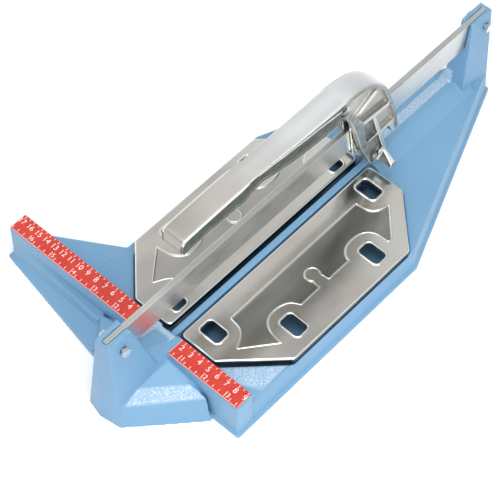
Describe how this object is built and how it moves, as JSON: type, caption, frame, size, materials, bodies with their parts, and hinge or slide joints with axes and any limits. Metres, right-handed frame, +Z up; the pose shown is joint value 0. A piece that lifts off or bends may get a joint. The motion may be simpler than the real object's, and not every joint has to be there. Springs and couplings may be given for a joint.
{
  "type": "tile cutter",
  "caption": "Manual tile cutter: painted cast base with sprung steel plates, ruled fence, flat guide bar between posts, and a sliding lever head with scoring wheel and breaker wings.",
  "frame": {"origin": "on the table under the scoring line, where the line meets the fence's face", "axes": "+Y along the guide bar away from the fence, +X to the right of someone facing the fence's far side, +Z up"},
  "size_m": [0.2715, 0.4927, 0.1687],
  "materials": {
    "blue_paint": "satin blue paint on cast aluminium, with a hammered finish in places",
    "plate_steel": "polished sheet steel",
    "bar_steel": "ground steel, brushed along the bar",
    "zinc": "bright zinc plate",
    "cast_aluminium": "satin cast aluminium with bright rib edges",
    "hard_metal": "hard ground metal",
    "red_strip": "printed red strip with pale figures"
  },
  "bodies": {
    "base": {"base_casting": "blue_paint", "ruler_left": "red_strip", "ruler_right": "red_strip", "guide_bar": "bar_steel", "bar_bolt_near": "zinc", "bar_nut_near": "zinc", "bar_bolt_far": "zinc", "bar_nut_far": "zinc", "plate_left_spring_1": "zinc", "plate_left_spring_2": "zinc", "plate_left_spring_3": "zinc", "plate_left_spring_4": "zinc", "plate_right_spring_1": "zinc", "plate_right_spring_2": "zinc", "plate_right_spring_3": "zinc", "plate_right_spring_4": "zinc"},
    "left_plate": {"plate_left": "plate_steel", "plate_left_screw_1": "zinc", "plate_left_screw_2": "zinc"},
    "right_plate": {"plate_right": "plate_steel", "plate_right_screw_1": "zinc", "plate_right_screw_2": "zinc"},
    "carriage": {"saddle": "zinc", "top_roller_front_pin": "zinc", "top_roller_rear_pin": "zinc", "under_roller_pin": "zinc", "fulcrum_pin": "zinc", "fulcrum_clip": "zinc", "return_spring": "zinc"},
    "front_top_roller": {"top_roller_front": "hard_metal"},
    "rear_top_roller": {"top_roller_rear": "hard_metal"},
    "under_bar_roller": {"under_roller": "hard_metal"},
    "rear_pin_roller": {"fulcrum_roller": "hard_metal"},
    "lever": {"handle_casting": "cast_aluminium", "wheel_bolt": "zinc", "wheel_nut": "zinc", "wheel_spacer_left": "zinc", "wheel_spacer_right": "zinc"},
    "wheel": {"scoring_wheel": "hard_metal"}
  },
  "joints": [
    {"name": "left_plate_travel", "type": "slide", "parent": "base", "child": "left_plate", "axis": [0, 0, 1], "range_m": [-0.002, 0], "stiffness_N_per_m": 3000, "springref_m": 0.003, "deforming": ["plate_left_spring_1", "plate_left_spring_2", "plate_left_spring_3", "plate_left_spring_4"]},
    {"name": "right_plate_travel", "type": "slide", "parent": "base", "child": "right_plate", "axis": [0, 0, 1], "range_m": [-0.002, 0], "stiffness_N_per_m": 3000, "springref_m": 0.003, "deforming": ["plate_right_spring_1", "plate_right_spring_2", "plate_right_spring_3", "plate_right_spring_4"]},
    {"name": "carriage_slide", "type": "slide", "parent": "base", "child": "carriage", "axis": [0, 1, 0], "range_m": [-0.239, 0.095]},
    {"name": "front_top_roller_spin", "type": "hinge", "parent": "carriage", "child": "front_top_roller", "pos_m": [0, 0.231, 0.1098], "axis": [1, 0, 0], "continuous": true},
    {"name": "rear_top_roller_spin", "type": "hinge", "parent": "carriage", "child": "rear_top_roller", "pos_m": [0, 0.245, 0.1098], "axis": [1, 0, 0], "continuous": true},
    {"name": "under_bar_roller_spin", "type": "hinge", "parent": "carriage", "child": "under_bar_roller", "pos_m": [0, 0.229, 0.0707], "axis": [1, 0, 0], "continuous": true},
    {"name": "rear_pin_roller_spin", "type": "hinge", "parent": "carriage", "child": "rear_pin_roller", "pos_m": [0, 0.272, 0.0706], "axis": [1, 0, 0], "continuous": true},
    {"name": "lever_hinge", "type": "hinge", "parent": "carriage", "child": "lever", "pos_m": [0, 0.272, 0.0706], "axis": [1, 0, 0], "range_deg": [-8, 8.5], "stiffness_Nm_per_rad": 3, "springref_deg": -3.12, "deforming": ["return_spring"]},
    {"name": "scoring_wheel_spin", "type": "hinge", "parent": "lever", "child": "wheel", "pos_m": [0, 0.247, 0.051], "axis": [1, 0, 0], "continuous": true}
  ],
  "couplings": [
    {"joint": "front_top_roller_spin", "follows": "carriage_slide", "rad_per_m": -222.22},
    {"joint": "rear_top_roller_spin", "follows": "carriage_slide", "rad_per_m": -222.22},
    {"joint": "under_bar_roller_spin", "follows": "carriage_slide", "rad_per_m": 250},
    {"joint": "rear_pin_roller_spin", "follows": "carriage_slide", "rad_per_m": 243.9}
  ]
}
